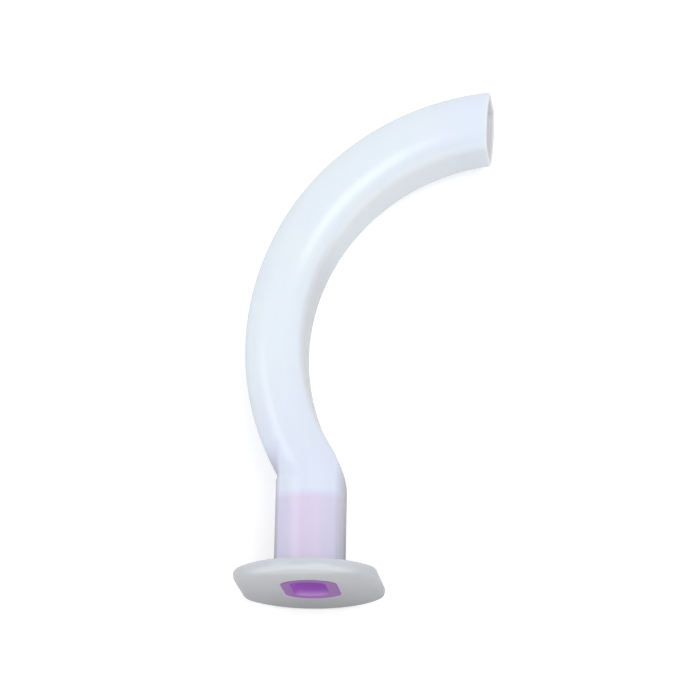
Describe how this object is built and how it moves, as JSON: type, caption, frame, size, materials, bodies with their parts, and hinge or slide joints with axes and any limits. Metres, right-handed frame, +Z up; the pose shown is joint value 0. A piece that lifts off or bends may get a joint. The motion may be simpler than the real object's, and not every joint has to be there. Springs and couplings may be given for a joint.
{
  "type": "oropharyngeal airway",
  "caption": "Curved hollow airway tube with a flat-sided round flange and a hard hollow block pressed into its straight bite section.",
  "frame": {"origin": "on the surface that the airway lies on, under the middle of its bounding box", "axes": "+Z up; the airway lies on its side, with the flange's axis seen from above along +Y towards the tip, and the tube's main bend turning towards +X"},
  "size_m": [0.0506, 0.1044, 0.0319],
  "materials": {
    "soft_polyethylene": "translucent milky white, moulded, satin gloss",
    "hard_polypropylene": "opaque violet, moulded, gloss"
  },
  "bodies": {
    "root": {"airway_body": "soft_polyethylene", "bite_block": "hard_polypropylene"}
  },
  "joints": []
}
